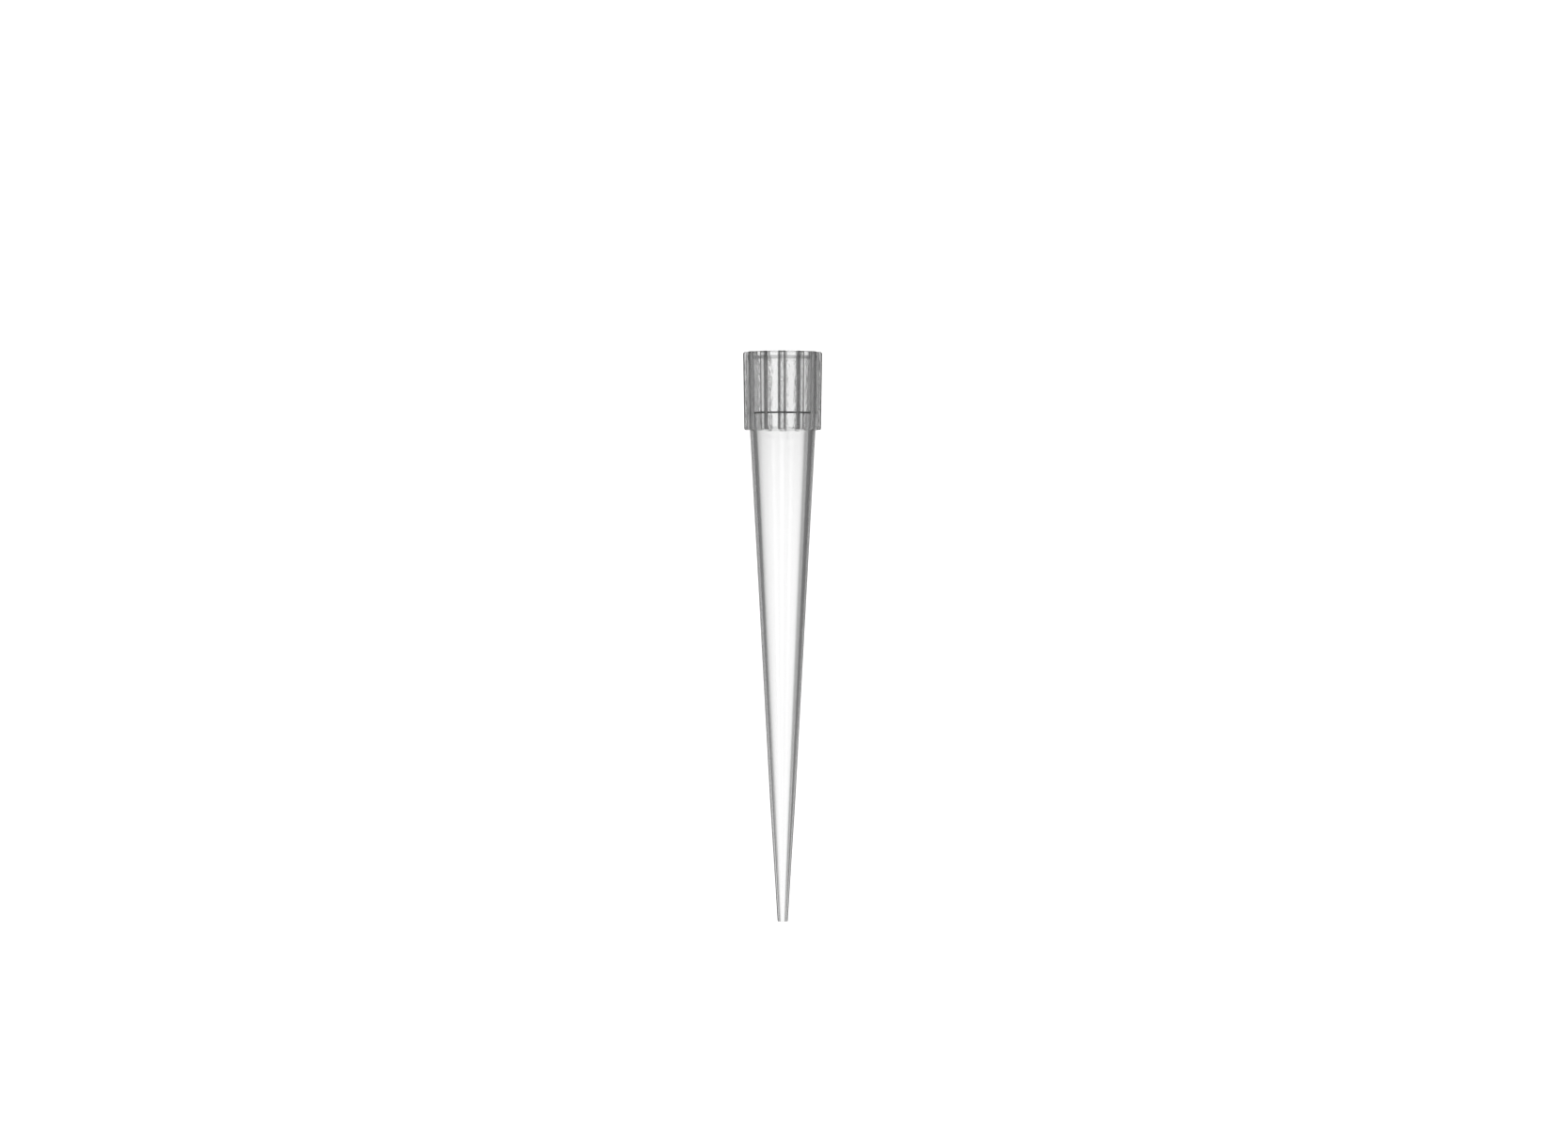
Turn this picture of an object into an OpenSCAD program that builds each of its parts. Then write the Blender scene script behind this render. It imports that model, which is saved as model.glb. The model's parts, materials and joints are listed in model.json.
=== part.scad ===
// Ribbed 200 microlitre pipette tip, injection moulded in one piece of natural polypropylene.
//
// The tip is drawn about its own axis: the mouth's rim is at z = 0 and the body runs down -Z, so
// a depth is always counted from the rim. It is then laid down as it comes to rest on a table:
// the mouth looks towards +Y, and the feet of the two lowest ribs and the end touch z = 0.
// All lengths are in millimetres.

/* [Overall] */
// Length from the mouth's rim to the end
tip_length = 51; // [42:0.5:75]

/* [Collar] */
// Height of the collar, from the rim to the step where it sits in a rack
collar_h = 7; // [6:0.1:12]
// Diameter of the barrel between the ribs, at the rim
barrel_top_d = 6.36; // [6.2:0.02:6.6]
// Diameter of the barrel between the ribs, above its bevelled foot
barrel_foot_d = 6.24; // [6.1:0.02:6.6]
// Height of the bevel where the barrel steps in to the body
bevel_h = 0.25; // [0.1:0.05:0.8]

/* [Ribs] */
// Number of ribs round the collar
rib_count = 12; // [6:1:20]
// Width of a rib
rib_w = 0.6; // [0.4:0.05:1]
// Diameter over the ribs at the rim
rib_top_d = 7.1; // [7:0.02:7.8]
// Diameter over the ribs at their feet, less than at the rim so that the collar leaves its mould
rib_foot_d = 6.88; // [6.7:0.02:7.6]
// Radius of the rounding on top of each rib
rib_round = 0.2; // [0.1:0.05:0.5]

/* [Socket] */
// Diameter of the straight mouth at the rim
mouth_d = 5.6; // [5.5:0.02:6]
// Depth of the straight mouth, from the rim to the lead-in
mouth_h = 0.4; // [0.1:0.05:0.7]
// Height of the lead-in chamfer that guides the nozzle in
lead_in_h = 0.3; // [0.1:0.05:0.7]
// Diameter at the foot of the lead-in, where the tapered guide starts
guide_d = 5.4; // [5.3:0.02:5.48]
// Diameter of the straight land that seals on the nozzle
seal_d = 5.2; // [5:0.02:5.28]
// Length of the sealing land
seal_length = 2.6; // [1:0.1:3.6]
// Depth of the socket, from the rim to the shoulder
socket_depth = 5.2; // [4.9:0.1:5.6]
// Height of the sloping shoulder below the sealing land
shoulder_h = 0.35; // [0.1:0.05:0.8]

/* [Body] */
// Outer diameter of the body just below the collar
body_d = 5.9; // [5.6:0.02:6.04]
// Length of the steeper nose at the end of the body
nose_length = 11; // [6:0.5:16]
// Outer diameter where the nose starts
nose_d = 2.3; // [1.9:0.05:2.8]
// Outer diameter of the end
end_d = 0.92; // [0.8:0.02:1.2]
// Bore just below the shoulder
bore_top_d = 4.82; // [4.4:0.02:4.9]
// Bore at the end, which measures out the drops
orifice_d = 0.48; // [0.3:0.02:0.6]

/* [Hidden] */

$fn = 96;
natural_polypropylene = [0.86, 0.88, 0.89, 0.7];

// How far a cut runs past the face that it opens
past = 1;

// Depth at which the body turns into the nose
nose_depth = tip_length - nose_length;
// Depth at which the sealing land starts
seal_depth = socket_depth - seal_length;

// Half the angle between two neighbouring ribs, less half a rib: how far round the collar from the
// table the nearer edges of the two lowest ribs stand
rest_angle = 180 / rib_count - asin(rib_w / rib_foot_d);
// How far those edges reach below the tip's axis
foot_reach = rib_foot_d / 2 * cos(rest_angle);
// Slope of the axis while the tip lies on the feet of its ribs and on its end
tilt = atan((foot_reach - end_d / 2) / (tip_length - collar_h));
// Height of the mouth's centre above the table
mouth_height = tip_length * sin(tilt) + end_d / 2 * cos(tilt);
// Furthest that the rim and the end reach along Y, counted from the mouth's centre
rim_reach = (rib_top_d / 2 - rib_round) * cos(rest_angle) * sin(tilt);
end_reach = tip_length * cos(tilt) + end_d / 2 * sin(tilt);
// Place of the mouth's centre that puts the middle of the whole length at y = 0
mouth_y = (end_reach - rim_reach) / 2;

// Outside of the barrel, the body and the nose, without the ribs
module outer_form()
    rotate_extrude()
        polygon([
            [0, 0],
            [barrel_top_d / 2, 0],
            [barrel_foot_d / 2, bevel_h - collar_h],
            [body_d / 2, -collar_h],
            [nose_d / 2, -nose_depth],
            [end_d / 2, -tip_length],
            [0, -tip_length]
        ]);

// Inside, from the rim down to the orifice: mouth, lead-in, guide, sealing land, shoulder and bore
module inner_form()
    rotate_extrude()
        polygon([
            [0, past],
            [mouth_d / 2, past],
            [mouth_d / 2, -mouth_h],
            [guide_d / 2, -mouth_h - lead_in_h],
            [seal_d / 2, -seal_depth],
            [seal_d / 2, -socket_depth],
            [bore_top_d / 2, -socket_depth - shoulder_h],
            [orifice_d / 2, -tip_length],
            [orifice_d / 2, -tip_length - past],
            [0, -tip_length - past]
        ]);

// Round form that all the ribs fill up to: drafted outwards to the rim, with a rounded top edge
module rib_envelope()
    rotate_extrude()
        union() {
            polygon([
                [0, -collar_h],
                [rib_foot_d / 2, -collar_h],
                [rib_top_d / 2, -rib_round],
                [0, -rib_round]
            ]);
            translate([0, -rib_round])
                square([rib_top_d / 2 - rib_round, rib_round]);
            intersection() {
                translate([rib_top_d / 2 - rib_round, -rib_round])
                    circle(r = rib_round);
                translate([rib_top_d / 2 - rib_round, -rib_round])
                    square(rib_round);
            }
        }

// The ribs, the first of which faces +X
module ribs()
    intersection() {
        rib_envelope();
        for (i = [0 : rib_count - 1])
            rotate(i * 360 / rib_count)
                translate([0, -rib_w / 2, -collar_h])
                    cube([rib_top_d, rib_w, collar_h]);
    }

// The whole tip about its own axis
module upright_tip()
    difference() {
        union() {
            outer_form();
            ribs();
        }
        inner_form();
    }

// The tip as it lies on the table, turned so that a gap between two ribs faces down
module pipette_tip()
    color(natural_polypropylene)
        translate([0, mouth_y, mouth_height])
            rotate([tilt - 90, 0, 0])
                rotate(90 + 180 / rib_count)
                    upright_tip();

pipette_tip();
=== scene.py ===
"""Looks of the ribbed pipette tip: clear, faintly milky polypropylene, lying on a white table.

The tip is drawn about its own axis, ring by ring, with the rounded edges that a moulded part has. A depth
is counted from the mouth's rim towards the end. Everything is in metres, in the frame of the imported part.
"""

import json
from math import acos, atan2, cos, exp, hypot, pi, radians, sin, sqrt, tan

import bmesh
import bpy
from mathutils import Matrix, Vector


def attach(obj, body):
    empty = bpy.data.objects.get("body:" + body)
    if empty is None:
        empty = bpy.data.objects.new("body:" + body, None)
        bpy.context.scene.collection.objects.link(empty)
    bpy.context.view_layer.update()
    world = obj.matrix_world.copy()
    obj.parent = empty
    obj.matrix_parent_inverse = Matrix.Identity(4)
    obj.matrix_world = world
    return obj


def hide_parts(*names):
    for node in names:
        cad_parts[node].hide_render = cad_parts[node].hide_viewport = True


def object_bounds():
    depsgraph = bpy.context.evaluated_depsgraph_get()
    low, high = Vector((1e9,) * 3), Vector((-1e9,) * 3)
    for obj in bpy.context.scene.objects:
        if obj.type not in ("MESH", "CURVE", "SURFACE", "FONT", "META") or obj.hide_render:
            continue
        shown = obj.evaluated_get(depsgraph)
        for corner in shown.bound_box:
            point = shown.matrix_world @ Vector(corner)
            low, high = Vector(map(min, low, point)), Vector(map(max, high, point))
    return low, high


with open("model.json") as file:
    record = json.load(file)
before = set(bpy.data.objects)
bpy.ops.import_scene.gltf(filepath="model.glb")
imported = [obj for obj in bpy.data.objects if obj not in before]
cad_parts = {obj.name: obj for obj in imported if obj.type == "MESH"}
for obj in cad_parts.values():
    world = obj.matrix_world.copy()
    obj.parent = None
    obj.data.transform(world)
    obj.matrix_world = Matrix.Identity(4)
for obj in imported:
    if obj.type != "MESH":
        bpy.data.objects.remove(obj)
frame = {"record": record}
cad_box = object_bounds()

MM = 0.001

# Sizes of the part
TIP_LENGTH = 51 * MM
COLLAR_H = 7 * MM
BARREL_TOP_R = 3.18 * MM
BARREL_FOOT_R = 3.12 * MM
BEVEL_H = 0.25 * MM
RIB_COUNT = 12
RIB_W = 0.6 * MM
RIB_TOP_R = 3.55 * MM
RIB_FOOT_R = 3.44 * MM
RIB_ROUND = 0.2 * MM
MOUTH_R = 2.8 * MM
MOUTH_H = 0.4 * MM
LEAD_IN_H = 0.3 * MM
GUIDE_R = 2.7 * MM
SEAL_R = 2.6 * MM
SEAL_LENGTH = 2.6 * MM
SOCKET_DEPTH = 5.2 * MM
SHOULDER_H = 0.35 * MM
BODY_R = 2.95 * MM
NOSE_LENGTH = 11 * MM
NOSE_R = 1.15 * MM
END_R = 0.46 * MM
BORE_TOP_R = 2.41 * MM
ORIFICE_R = 0.24 * MM

# Small roundings that the mould leaves, and the soft blend from the body to the nose
RIM_EDGE = 0.06 * MM
ROOT_FILLET = 0.08 * MM
RIB_EDGE = 0.15 * MM
END_EDGE = 0.05 * MM
SHOULDER_EDGE = 0.04 * MM
MOUTH_EDGE = 0.1 * MM
GUIDE_BLEND = 1 * MM
NOSE_BLEND = 60 * MM
# How far inside the barrel's edge the rim's flat top starts
RIM_INSET = 1.8 * RIM_EDGE
# Share of the shoulder's height where its slope starts, so that it shows as one thin line
SLOPE_FROM = 0.6

# Where the collar has its rings: degrees along the ribs' rounded tops and feet, and shares of the height
# of the wall between them and of the bevel below it
TOP_DEGREES = (0, 12, 25, 38, 52, 70, 90)
FOOT_DEGREES = (30, 60, 90)
WALL_SHARES = (0.1, 0.3, 0.5, 0.7, 0.9, 0.98)
BEVEL_SHARES = (0.0, 0.35, 0.65)
# Share of the bevel that the barrel has come down where the ribs' feet have ended
BEVEL_AT_FOOT = 0.9
# Least height of a rib over the barrel, so that the points of its outline stay apart
LEAST_RIB = 0.02 * MM
# The body's first rings, close below the step, and the depth where its evenly spaced rings start
NECK_DEPTHS = (COLLAR_H + 0.03 * MM, COLLAR_H + 0.1 * MM)
BODY_TOP = COLLAR_H + 0.5 * MM
# Longest stretch between two rings of the body and of the inside
LONGEST = 3 * MM

# Most of a rib's height that the fillet at its root and its rounded edge take
FILLET_SHARE = 0.45
EDGE_SHARE = 0.5

# Share of painted shade on the parts of a rib's outline: the fillet at its root, its side and its rounded
# edge. The same share sets their roughness and streaks.
ROOT_SHADE_SHARE = 0.6
SIDE_SHADE_SHARE = 0.35
EDGE_SHADE_SHARE = 1.0

# Depth over which the plastic turns hazy below its clear rim
RIM_CLEAR = 0.5 * MM
# Below the collar the plastic clears up over about this depth
HAZE_FADE = 4 * MM

# Steps along the gap beside a rib, along a rounded edge of its outline and along its crest, all for one
# half of the rib, and steps round a corner of the round stretches
GAP_STEPS = 8
ARC_STEPS = 4
CREST_STEPS = 3
CORNER_STEPS = 5
HALF_STEPS = GAP_STEPS + ARC_STEPS + 1 + ARC_STEPS + CREST_STEPS
RING_POINTS = RIB_COUNT * 2 * HALF_STEPS


def slide(a, b, share):
    return a + (b - a) * share


def arc(centre, radius, start, end, steps):
    """Points along an arc, without its first one."""
    angles = [slide(start, end, (k + 1) / steps) for k in range(steps)]
    return [(centre[0] + radius * cos(a), centre[1] + radius * sin(a)) for a in angles]


# The ribbed outline ---------------------------------------------------------------------------------------


def half_outline(barrel_r, rib_r):
    """From the middle of a gap to the middle of the rib beside it, as (out, aside, share of painted shade,
    top).
    """
    height = rib_r - barrel_r
    half_w = RIB_W / 2
    fillet = min(ROOT_FILLET, height * FILLET_SHARE)
    edge = min(RIB_EDGE, height * EDGE_SHARE)
    root_y = half_w + fillet
    root = (sqrt((barrel_r + fillet) ** 2 - root_y**2), root_y)
    crest_y = half_w - edge
    crest = (sqrt((rib_r - edge) ** 2 - crest_y**2), crest_y)
    root_angle = atan2(root[1], root[0])
    crest_angle = atan2(crest[1], crest[0])
    gap = pi / RIB_COUNT
    parts = [
        (0.0, 0.0, [(barrel_r * cos(gap), barrel_r * sin(gap))]),
        (0.0, 0.0, arc((0, 0), barrel_r, gap, root_angle, GAP_STEPS)),
        (ROOT_SHADE_SHARE, 0.0, arc(root, fillet, root_angle - pi, -pi / 2, ARC_STEPS)),
        (SIDE_SHADE_SHARE, 0.0, [(crest[0], half_w)]),
        (EDGE_SHADE_SHARE, 0.0, arc(crest, edge, pi / 2, crest_angle, ARC_STEPS)),
        (0.0, 1.0, arc((0, 0), rib_r, crest_angle, 0, CREST_STEPS)),
    ]
    return [(x, y, grey, top) for grey, top, points in parts for x, y in points]


def ribbed_ring(barrel_r, barrel_depth, rib_r, rib_depth):
    """The collar's outline. Where the ribs end at another depth than the barrel, their sides run over."""
    half = half_outline(barrel_r, rib_r)
    period = [(x, -y, grey, top) for x, y, grey, top in half] + half[-2:0:-1]
    ring = []
    for rib in range(RIB_COUNT):
        turn = (2 * rib + 1) * pi / RIB_COUNT
        for x, y, grey, top in period:
            share = (hypot(x, y) - barrel_r) / (rib_r - barrel_r)
            depth = slide(barrel_depth, rib_depth, min(max(share, 0), 1))
            turned = (x * cos(turn) - y * sin(turn), x * sin(turn) + y * cos(turn))
            ring.append((*turned, depth, grey, top))
    return ring


def circle(turns, radius, depth):
    return [(radius * cos(t), radius * sin(t), depth, 0.0, 0.0) for t in turns]


def round_ring(radius, depth):
    return circle([2 * pi * k / RING_POINTS for k in range(RING_POINTS)], radius, depth)


def drawn_in(ring, radius, depth):
    """A circle whose points stand right below those of another ring."""
    return circle([atan2(point[1], point[0]) for point in ring], radius, depth)


def body_r_at(depth):
    return slide(BODY_R, NOSE_R, (depth - COLLAR_H) / (TIP_LENGTH - NOSE_LENGTH - COLLAR_H))


def collar_rings():
    """From the rim's flat top down to the step where the ribs end."""
    rings = []

    def barrel_at(depth):
        return slide(BARREL_TOP_R, BARREL_FOOT_R, depth / (COLLAR_H - BEVEL_H))

    def rib_at(depth):
        return slide(RIB_TOP_R, RIB_FOOT_R, depth / COLLAR_H)

    for degrees in TOP_DEGREES:
        depth = RIB_ROUND * (1 - cos(radians(degrees)))
        rib_r = rib_at(RIB_ROUND) - RIB_ROUND * (1 - sin(radians(degrees)))
        into_edge = max(RIM_EDGE - depth, 0)
        barrel_r = barrel_at(depth) - RIM_EDGE + sqrt(RIM_EDGE**2 - into_edge**2)
        rings.append(ribbed_ring(barrel_r, depth, max(rib_r, barrel_r + LEAST_RIB), depth))
    for share in WALL_SHARES:
        depth = slide(RIB_ROUND, COLLAR_H - BEVEL_H, share)
        rings.append(ribbed_ring(barrel_at(depth), depth, rib_at(depth), depth))
    bevel_top = COLLAR_H - BEVEL_H
    for share in BEVEL_SHARES:
        barrel_r = slide(BARREL_FOOT_R, BODY_R, share)
        barrel_depth = slide(bevel_top, COLLAR_H, share)
        rib_depth = slide(bevel_top, COLLAR_H - RIB_EDGE, share)
        rings.append(ribbed_ring(barrel_r, barrel_depth, rib_at(rib_depth), rib_depth))
    for degrees in FOOT_DEGREES:
        barrel_share = slide(BEVEL_SHARES[-1], BEVEL_AT_FOOT, degrees / 90)
        rib_r = RIB_FOOT_R - RIB_EDGE * (1 - cos(radians(degrees)))
        rib_depth = COLLAR_H - RIB_EDGE * (1 - sin(radians(degrees)))
        barrel_r = slide(BARREL_FOOT_R, BODY_R, barrel_share)
        rings.append(ribbed_ring(barrel_r, slide(bevel_top, COLLAR_H, barrel_share), rib_r, rib_depth))
    rings.append(ribbed_ring(BODY_R, COLLAR_H, BODY_R + LEAST_RIB, COLLAR_H))
    return rings


# The round stretches --------------------------------------------------------------------------------------


def rounded(corners):
    """A profile of (radius, depth) points from (radius, depth, rounding) corners. The ends stay as given."""
    profile = [corners[0][:2]]
    for before, (r, d, rounding), after in zip(corners, corners[1:], corners[2:]):
        corner = Vector((r, d))
        back = (Vector(before[:2]) - corner).normalized()
        on = (Vector(after[:2]) - corner).normalized()
        opening = acos(max(-1, min(1, back.dot(on))))
        reach = rounding / tan(opening / 2)
        centre = corner + (back + on).normalized() * (rounding / sin(opening / 2))
        first = corner + back * reach - centre
        swing = pi - opening
        if first.x * back.y - first.y * back.x > 0:
            swing = -swing
        for k in range(CORNER_STEPS + 1):
            a = swing * k / CORNER_STEPS
            turned = Vector((first.x * cos(a) - first.y * sin(a), first.x * sin(a) + first.y * cos(a)))
            profile.append(tuple(centre + turned))
    profile.append(corners[-1][:2])
    return profile


def divided(profile, longest):
    """The same profile with no stretch longer than that."""
    points = [profile[0]]
    for (r0, d0), (r1, d1) in zip(profile, profile[1:]):
        parts = max(1, round(hypot(r1 - r0, d1 - d0) / longest + 0.5))
        points += [(slide(r0, r1, k / parts), slide(d0, d1, k / parts)) for k in range(1, parts + 1)]
    return points


def round_profile():
    """Down the body and the nose, round the end, and back up through the bore and the socket to the rim."""
    seal_top = SOCKET_DEPTH - SEAL_LENGTH
    corners = [
        (body_r_at(BODY_TOP), BODY_TOP, 0),
        (NOSE_R, TIP_LENGTH - NOSE_LENGTH, NOSE_BLEND),
        (END_R, TIP_LENGTH, END_EDGE),
        (ORIFICE_R, TIP_LENGTH, END_EDGE),
        (BORE_TOP_R, SOCKET_DEPTH + SHOULDER_H, SHOULDER_EDGE),
        (SEAL_R, SOCKET_DEPTH + SHOULDER_H * SLOPE_FROM, SHOULDER_EDGE),
        (SEAL_R, seal_top, GUIDE_BLEND),
        (GUIDE_R, MOUTH_H + LEAD_IN_H, MOUTH_EDGE),
        (MOUTH_R, MOUTH_H, MOUTH_EDGE),
        (MOUTH_R, 0, RIM_EDGE),
        (BARREL_TOP_R - RIM_INSET, 0, 0),
    ]
    return divided(rounded(corners), LONGEST)


# The tip in place -----------------------------------------------------------------------------------------


def lying_frame():
    """Where the tip lies: its own axis points out of the mouth and a gap between two ribs faces up."""
    socket = next(m for m in frame["record"]["mounts"] if m["name"] == "nozzle_socket")
    out = Vector(socket["axis"]).normalized()
    across = Vector((1, 0, 0))
    up = across.cross(out).normalized()
    mouth = Vector(socket["pos_m"]) + out * (SOCKET_DEPTH - SEAL_LENGTH / 2)
    return mouth, out, across, up


MOUTH, OUT, ACROSS, UP = lying_frame()


def place(point):
    x, y, depth = point[:3]
    return MOUTH - OUT * depth + UP * x + ACROSS * y


def haze_at(depth):
    """How hazy the plastic is: clear at the rim, hazy all down the collar, and clearing up below it."""
    return min(depth / RIM_CLEAR, 1) * exp(min(COLLAR_H - depth, 0) / HAZE_FADE)


def body_ring_count(profile):
    """The rings before the profile turns round the end and comes back up inside."""
    return next(k for k, (r, depth) in enumerate(profile) if r < slide(END_R, ORIFICE_R, 0.5))


def write_mask(data, name, values):
    data.attributes.new(name, "FLOAT", "POINT").data.foreach_set("value", values)


def skin_over(rings):
    """One closed skin over a chain of rings, whose last one joins the first."""
    mesh = bmesh.new()
    rows = [[mesh.verts.new(place(p)) for p in ring] for ring in rings]
    for above, below in zip(rows, rows[1:] + rows[:1]):
        for k in range(RING_POINTS):
            after = (k + 1) % RING_POINTS
            mesh.faces.new((above[k], above[after], below[after], below[k]))
    bmesh.ops.recalc_face_normals(mesh, faces=mesh.faces)
    data = bpy.data.meshes.new("moulded_tip")
    mesh.to_mesh(data)
    mesh.free()
    data.shade_smooth()
    return data


def make_tip():
    """Rings down the outside and up the inside, back to the rim, with masks for the material."""
    collar = collar_rings()
    neck = [drawn_in(collar[-1], body_r_at(depth), depth) for depth in NECK_DEPTHS]
    profile = round_profile()
    rings = collar + neck + [round_ring(r, depth) for r, depth in profile]
    data = skin_over(rings)
    points = [point for ring in rings for point in ring]
    collar_end = len(collar) * RING_POINTS
    bore_start = (len(collar + neck) + body_ring_count(profile)) * RING_POINTS
    # The rib mask is the share of painted shade on the ribs' outlines; it also sets their roughness and
    # streaks.
    write_mask(data, "rib", [grey for x, y, depth, grey, top in points])
    write_mask(data, "rib_top", [top for x, y, depth, grey, top in points])
    write_mask(data, "haze", [haze_at(depth) for x, y, depth, grey, top in points])
    write_mask(data, "collar", [float(k < collar_end) for k in range(len(points))])
    write_mask(data, "bore", [float(k >= bore_start) for k in range(len(points))])
    tip = bpy.data.objects.new("moulded_tip", data)
    bpy.context.scene.collection.objects.link(tip)
    tip.modifiers.new("keep_flats", "WEIGHTED_NORMAL")
    return tip


# Materials ------------------------------------------------------------------------------------------------


def add(tree, kind, **values):
    """A node of that kind. A value goes to the input of that name, or else to the node's own setting."""
    node = tree.nodes.new(kind)
    for name, value in values.items():
        socket = node.inputs.get(name.replace("_", " "))
        if socket is not None:
            socket.default_value = value
        else:
            setattr(node, name, value)
    return node


def new_material(name):
    material = bpy.data.materials.new(name)
    material.use_nodes = True
    material.node_tree.nodes.clear()
    return material, material.node_tree


def plain_grey(value):
    return (value, value, value, 1)


def ramp(tree, source, stops):
    """Greys from a value: stops are (position, grey)."""
    node = tree.nodes.new("ShaderNodeValToRGB")
    while len(node.color_ramp.elements) < len(stops):
        node.color_ramp.elements.new(1)
    for element, (position, grey) in zip(node.color_ramp.elements, stops):
        element.position = position
        element.color = plain_grey(grey)
    tree.links.new(source, node.inputs["Fac"])
    return node.outputs["Color"]


# Grey that a skin lets through, by how steeply it is looked at: 0 square on, 1 edge on
# The darkening at steep angles is partly milky plastic and partly painted shade for the dark edges that
# clear plastic shows
BODY_MILK_AND_EDGE_SHADE = [
    (0.0, 0.975), (0.1, 0.95), (0.25, 0.88), (0.33, 0.82), (0.4, 0.66), (0.52, 0.3), (0.7, 0.2), (1.0, 0.12),
]
COLLAR_MILK_AND_EDGE_SHADE = [(0.0, 0.97), (0.08, 0.9), (0.2, 0.8), (0.35, 0.77), (0.5, 0.98), (1.0, 0.95)]
RIB_TOP_MILK_AND_EDGE_SHADE = [(0.0, 0.84), (0.06, 0.82), (0.12, 0.62), (0.25, 0.62), (0.45, 0.8), (1.0, 0.8)]
BORE_MILK_AND_EDGE_SHADE = [(0.0, 0.995), (0.25, 0.97), (0.44, 0.93), (0.56, 0.9), (0.7, 0.87), (1.0, 0.85)]
# Painted shade on the greyest part of a rib's outline, and what the full haze lets through
RIB_OUTLINE_SHADE = 0.12
HAZE_TINT = 0.935
# What each skin lets through of the light that makes the shadow
SHADOW_TINT = 0.93

REFRACTION = 1.49
# Roughness of the body, of the collar between the ribs and of the ribs' edges
BODY_ROUGH = 0.04
COLLAR_ROUGH = 0.1
RIB_ROUGH = 0.2
# Blotches of gloss: how fine they are, and how their noise makes the plastic less or more rough
BLOTCHES = {"Scale": 1200, "Detail": 2}
BLOTCH_RANGE = {"From_Min": 0.35, "From_Max": 0.65, "To_Min": 0.75, "To_Max": 1.25}
# Streaks drawn out along the tip: how fine they are, their stretch and depth, their strength between the
# ribs and on the ribs' edges, and how closely they keep to the haze
STREAKS = {"Scale": 4500, "Detail": 3}
STREAK_STRETCH = (1, 0.4, 1)
STREAK_DEPTH = 0.02 * MM
WALL_STREAKS = 0.8
RIB_STREAKS = 3.0
STREAK_FADE = 12


def mask(tree, name):
    return add(tree, "ShaderNodeAttribute", attribute_name=name).outputs["Fac"]


def mix_value(tree, share, low, high):
    """Low where the share is 0 and high where it is 1. Each may be a number or another node's value."""
    node = tree.nodes.new("ShaderNodeMix")
    tree.links.new(share, node.inputs["Factor"])
    for name, value in (("A", low), ("B", high)):
        if isinstance(value, float):
            node.inputs[name].default_value = value
        else:
            tree.links.new(value, node.inputs[name])
    return node.outputs["Result"]


def product(tree, first, second):
    node = add(tree, "ShaderNodeMath", operation="MULTIPLY")
    tree.links.new(first, node.inputs[0])
    tree.links.new(second, node.inputs[1])
    return node.outputs[0]


def chosen(tree, share, off, on):
    """The first shader where the share is 0 and the second where it is 1."""
    node = add(tree, "ShaderNodeMixShader")
    tree.links.new(share, node.inputs[0])
    tree.links.new(off, node.inputs[1])
    tree.links.new(on, node.inputs[2])
    return node.outputs[0]


def skin_tint_and_painted_shade(tree, rib, collar, haze):
    """Greyer where a skin is looked at steeply, partly milkiness and partly painted shade, with painted
    shade on the ribs' outlines and haze.
    """
    facing = add(tree, "ShaderNodeLayerWeight", Blend=0.5).outputs["Facing"]
    outside = mix_value(tree, collar, ramp(tree, facing, BODY_MILK_AND_EDGE_SHADE), ramp(tree, facing, COLLAR_MILK_AND_EDGE_SHADE))
    skin = mix_value(tree, mask(tree, "bore"), outside, ramp(tree, facing, BORE_MILK_AND_EDGE_SHADE))
    # Painted shade along the ribs' outlines, darkest on their rounded edges
    outline = mix_value(tree, rib, 1.0, RIB_OUTLINE_SHADE)
    tops = mix_value(tree, mask(tree, "rib_top"), 1.0, ramp(tree, facing, RIB_TOP_MILK_AND_EDGE_SHADE))
    milk = mix_value(tree, haze, 1.0, HAZE_TINT)
    return product(tree, skin, product(tree, product(tree, outline, tops), milk))


def blotchy_gloss(tree, rib, collar, place_on):
    blotches = add(tree, "ShaderNodeTexNoise", **BLOTCHES)
    tree.links.new(place_on, blotches.inputs["Vector"])
    uneven = add(tree, "ShaderNodeMapRange", **BLOTCH_RANGE)
    tree.links.new(blotches.outputs["Fac"], uneven.inputs["Value"])
    smooth = mix_value(tree, collar, BODY_ROUGH, COLLAR_ROUGH)
    return product(tree, mix_value(tree, rib, smooth, RIB_ROUGH), uneven.outputs["Result"])


def streaks_along(tree, rib, haze, place_on):
    drawn_out = add(tree, "ShaderNodeMapping", Scale=STREAK_STRETCH)
    tree.links.new(place_on, drawn_out.inputs["Vector"])
    streaks = add(tree, "ShaderNodeTexNoise", **STREAKS)
    tree.links.new(drawn_out.outputs["Vector"], streaks.inputs["Vector"])
    kept = add(tree, "ShaderNodeMath", operation="POWER")
    tree.links.new(haze, kept.inputs[0])
    kept.inputs[1].default_value = STREAK_FADE
    strength = product(tree, kept.outputs[0], mix_value(tree, rib, WALL_STREAKS, RIB_STREAKS))
    relief = add(tree, "ShaderNodeBump", Strength=1.0, Distance=STREAK_DEPTH)
    tree.links.new(product(tree, streaks.outputs["Fac"], strength), relief.inputs["Height"])
    return relief.outputs["Normal"]


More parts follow.
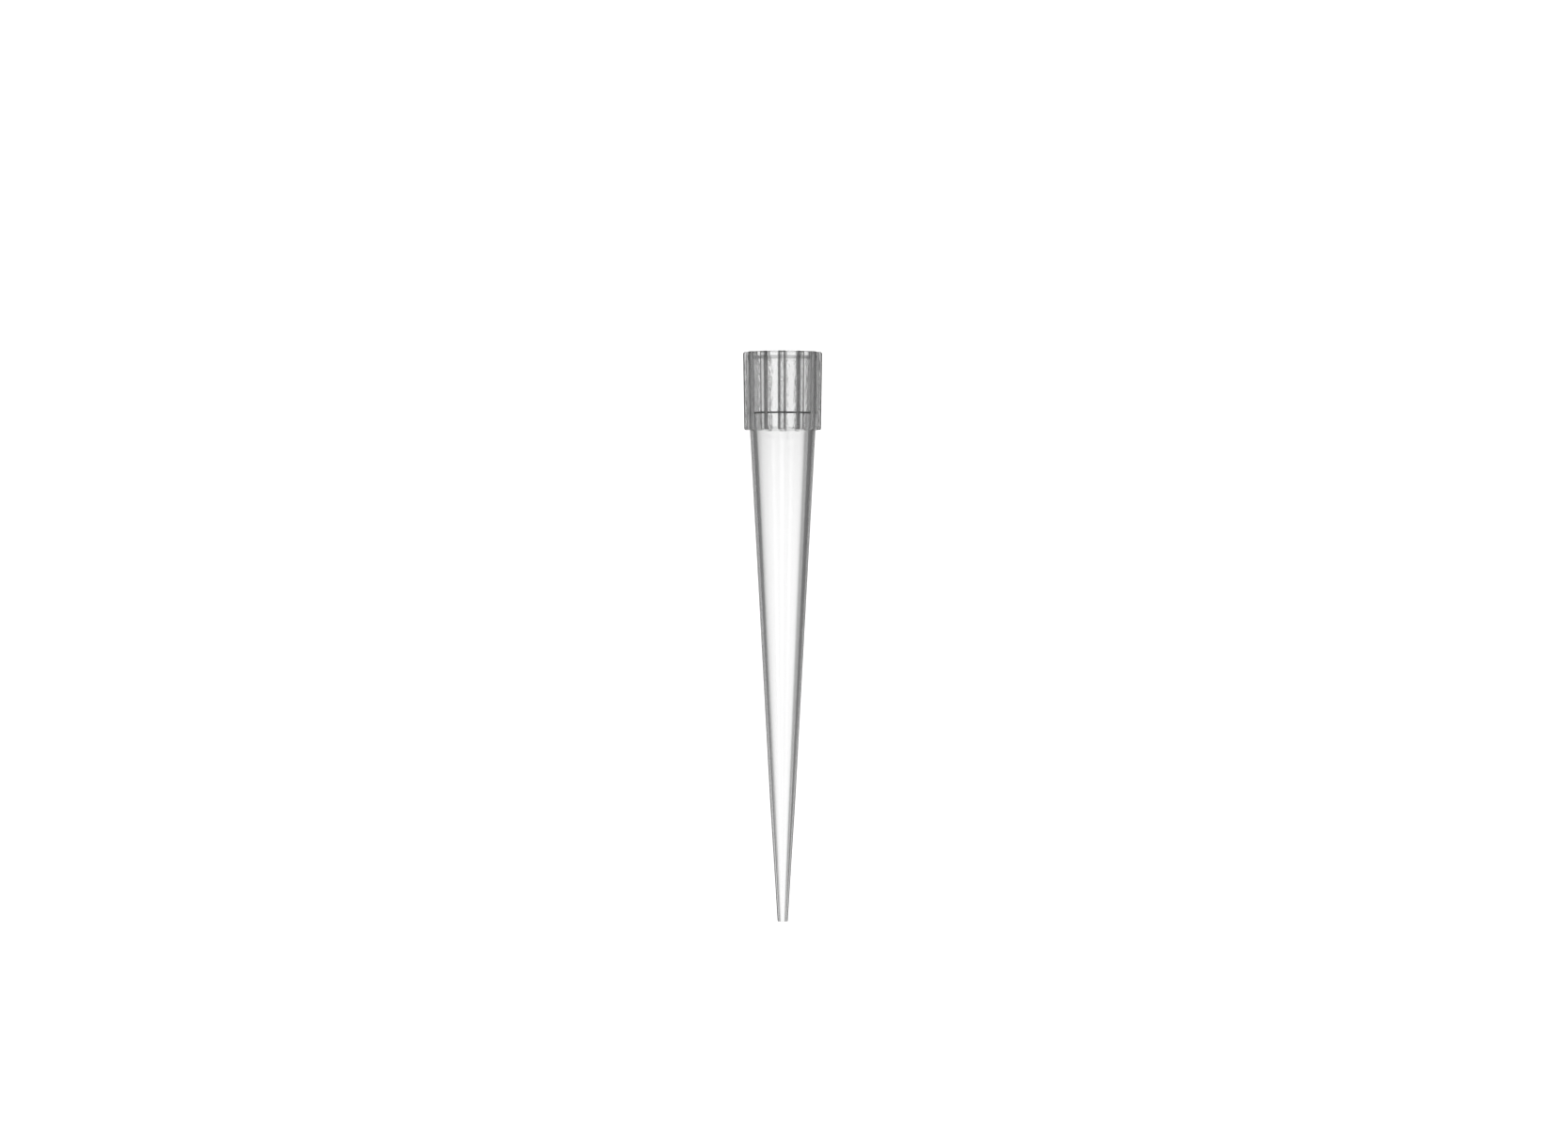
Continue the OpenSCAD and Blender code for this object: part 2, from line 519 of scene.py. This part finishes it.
def clear_polypropylene():
    """Clear plastic with a plain shadow, since light for the table goes straight through it."""
    material, tree = new_material("clear_polypropylene")
    rib = mask(tree, "rib")
    collar = mask(tree, "collar")
    haze = mask(tree, "haze")
    place_on = add(tree, "ShaderNodeTexCoord").outputs["Object"]
    plastic = add(tree, "ShaderNodeBsdfPrincipled", IOR=REFRACTION)
    plastic.inputs["Transmission Weight"].default_value = 1
    tree.links.new(skin_tint_and_painted_shade(tree, rib, collar, haze), plastic.inputs["Base Color"])
    tree.links.new(blotchy_gloss(tree, rib, collar, place_on), plastic.inputs["Roughness"])
    tree.links.new(streaks_along(tree, rib, haze, place_on), plastic.inputs["Normal"])
    path = add(tree, "ShaderNodeLightPath").outputs
    through = add(tree, "ShaderNodeBsdfTransparent", Color=plain_grey(SHADOW_TINT)).outputs[0]
    shadow_free = chosen(tree, path["Is Shadow Ray"], plastic.outputs[0], through)
    finish = chosen(tree, path["Is Diffuse Ray"], shadow_free, through)
    tree.links.new(finish, add(tree, "ShaderNodeOutputMaterial").inputs["Surface"])
    return material


# The table's own grey, and the glow that makes it look white
TABLE_GREY = 0.8
TABLE_GLOW = 0.38


def white_table():
    """A pale table that looks white. Clear plastic shows and mirrors the light under the table instead."""
    material, tree = new_material("white_table")
    path = add(tree, "ShaderNodeLightPath").outputs
    board = add(tree, "ShaderNodeBsdfDiffuse", Color=plain_grey(TABLE_GREY))
    glow = add(tree, "ShaderNodeEmission")
    tree.links.new(mix_value(tree, path["Is Camera Ray"], 0.0, TABLE_GLOW), glow.inputs["Strength"])
    both = add(tree, "ShaderNodeAddShader")
    tree.links.new(board.outputs[0], both.inputs[0])
    tree.links.new(glow.outputs[0], both.inputs[1])
    clear = add(tree, "ShaderNodeBsdfTransparent")
    shown = chosen(tree, path["Is Glossy Ray"], both.outputs[0], clear.outputs[0])
    tree.links.new(shown, add(tree, "ShaderNodeOutputMaterial").inputs["Surface"])
    return material


# Studio ---------------------------------------------------------------------------------------------------

# The camera: how far it is turned round the tip, how far away it is, how wide the picture is at the tip,
# and where its middle is, as a depth and a way to the right of the axis
CAMERA_TURN = radians(-14.1)
CAMERA_DISTANCE = 0.43
FRAME_WIDTH = 140.4 * MM
LOOK_AT_DEPTH = 19.35 * MM
LOOK_ASIDE = 0.12 * MM
SENSOR_WIDTH = 36
SEEN_AS_FAR_AS = 10

TABLE_R = 3
TABLE_CORNERS = 64
# The plain sky, whose light also falls on the tip
SKY = 0.8
# Lamps: place, size across and power
LAMPS = {
    "key": ((-0.35, 0.15, 0.55), 0.8, 1.5),
    "fill": ((0.45, -0.2, 0.5), 0.8, 1.3),
}


def facing_frame():
    """The camera's own right, up and back, square on to the tip's axis and turned round it."""
    back = UP * cos(CAMERA_TURN) + ACROSS * sin(CAMERA_TURN)
    return OUT.cross(back), OUT, back


SIDE, HEAD, BACK = facing_frame()

# Brightness of the light under the table by how far a ray leans: -1 is left or towards the end, 1 is right
# or towards the mouth
STRIP_ACROSS = [
    (-1.0, 0.9), (-0.9, 0.7), (-0.82, 0.2), (-0.6, 0.18), (-0.5, 0.4), (-0.43, 0.78), (-0.3, 0.9),
    (-0.2, 0.97), (0.14, 0.97), (0.22, 0.86), (0.3, 0.45), (0.43, 0.32), (0.5, 0.2), (0.6, 0.15),
    (0.82, 0.2), (0.88, 0.6), (1.0, 0.9),
]
STRIP_ALONG = [
    (-0.8, 1.0), (-0.6, 0.3), (-0.4, 0.15), (-0.25, 0.2), (-0.15, 0.6), (-0.08, 0.9), (-0.05, 1.0),
    (0.2, 1.0), (0.5, 0.7), (0.8, 1.0),
]
# Past these leans the other way, a ray clears the ends of the flags
FLAG_ENDS = [(-0.5, 1.0), (-0.35, 0.0), (0.35, 0.0), (0.5, 1.0)]
# The strip is below the tip and the sky is above it, with this change between them
SKYLINE = [(-0.02, 0.0), (0.02, 1.0)]


def make_table():
    mesh = bmesh.new()
    bmesh.ops.create_circle(mesh, cap_ends=True, segments=TABLE_CORNERS, radius=TABLE_R)
    data = bpy.data.meshes.new("table")
    mesh.to_mesh(data)
    mesh.free()
    table = bpy.data.objects.new("table", data)
    table.location = (0, 0, cad_box[0].z)
    table.data.materials.append(white_table())
    bpy.context.scene.collection.objects.link(table)


def area_light(name, at, size, power):
    """A round soft lamp that looks at the middle of the tip."""
    lamp = bpy.data.lights.new(name, "AREA")
    lamp.shape = "DISK"
    lamp.size = size
    lamp.energy = power
    light = bpy.data.objects.new(name, lamp)
    light.location = at
    light.rotation_mode = "QUATERNION"
    light.rotation_quaternion = (-Vector(at)).to_track_quat("-Z", "Y")
    bpy.context.scene.collection.objects.link(light)


def plain_background(tree, strength):
    return add(tree, "ShaderNodeBackground", Color=plain_grey(1), Strength=strength).outputs[0]


def lean_of_ray(tree, direction):
    """How far a ray leans along that direction, from 0 for straight against it to 1 for straight along."""
    ray = add(tree, "ShaderNodeTexCoord")
    lean = add(tree, "ShaderNodeVectorMath", operation="DOT_PRODUCT")
    lean.inputs[1].default_value = direction
    tree.links.new(ray.outputs["Generated"], lean.inputs[0])
    share = add(tree, "ShaderNodeMath", operation="MULTIPLY_ADD")
    share.inputs[1].default_value = 0.5
    share.inputs[2].default_value = 0.5
    tree.links.new(lean.outputs["Value"], share.inputs[0])
    return share.outputs[0]


def lean_ramp(tree, lean, stops):
    return ramp(tree, lean, [((at + 1) / 2, grey) for at, grey in stops])


def lit_strip(tree):
    """The light that clear plastic is seen against: bright straight behind it, between dark flags."""
    across = lean_of_ray(tree, SIDE)
    along = lean_of_ray(tree, HEAD)
    past_sides = lean_ramp(tree, along, FLAG_ENDS)
    past_ends = lean_ramp(tree, across, FLAG_ENDS)
    sides = mix_value(tree, past_sides, lean_ramp(tree, across, STRIP_ACROSS), 1.0)
    ends = mix_value(tree, past_ends, lean_ramp(tree, along, STRIP_ALONG), 1.0)
    light = add(tree, "ShaderNodeBackground", Color=plain_grey(1))
    tree.links.new(product(tree, sides, ends), light.inputs["Strength"])
    return light.outputs[0]


def make_world():
    """White for the camera and plain for the table, with the lit strip for what clear plastic shows."""
    world = bpy.data.worlds.new("studio")
    world.use_nodes = True
    tree = world.node_tree
    tree.nodes.clear()
    path = add(tree, "ShaderNodeLightPath").outputs
    sky = plain_background(tree, SKY)
    upward = lean_ramp(tree, lean_of_ray(tree, BACK), SKYLINE)
    seen_in_plastic = chosen(tree, upward, lit_strip(tree), sky)
    plain = chosen(tree, path["Is Camera Ray"], sky, plain_background(tree, 1.0))
    light = chosen(tree, path["Is Glossy Ray"], plain, seen_in_plastic)
    out = add(tree, "ShaderNodeOutputWorld")
    tree.links.new(light, out.inputs["Surface"])
    bpy.context.scene.world = world


def make_camera():
    """Looks square on to the middle of the tip, so the rim is seen from just below its plane."""
    data = bpy.data.cameras.new("camera")
    data.sensor_width = SENSOR_WIDTH
    data.lens = data.sensor_width * CAMERA_DISTANCE / FRAME_WIDTH
    data.clip_end = SEEN_AS_FAR_AS
    camera = bpy.data.objects.new("camera", data)
    camera.location = MOUTH - OUT * LOOK_AT_DEPTH + SIDE * LOOK_ASIDE + BACK * CAMERA_DISTANCE
    camera.rotation_mode = "QUATERNION"
    camera.rotation_quaternion = Matrix((SIDE, HEAD, BACK)).transposed().to_quaternion()
    bpy.context.scene.collection.objects.link(camera)
    bpy.context.scene.camera = camera


tip = make_tip()
tip.data.materials.append(clear_polypropylene())
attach(tip, "root")
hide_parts("pipette_tip")

make_table()
make_world()
for lamp_name, (at, size, power) in LAMPS.items():
    area_light(lamp_name, at, size, power)
make_camera()
bpy.context.scene.view_settings.view_transform = "Standard"
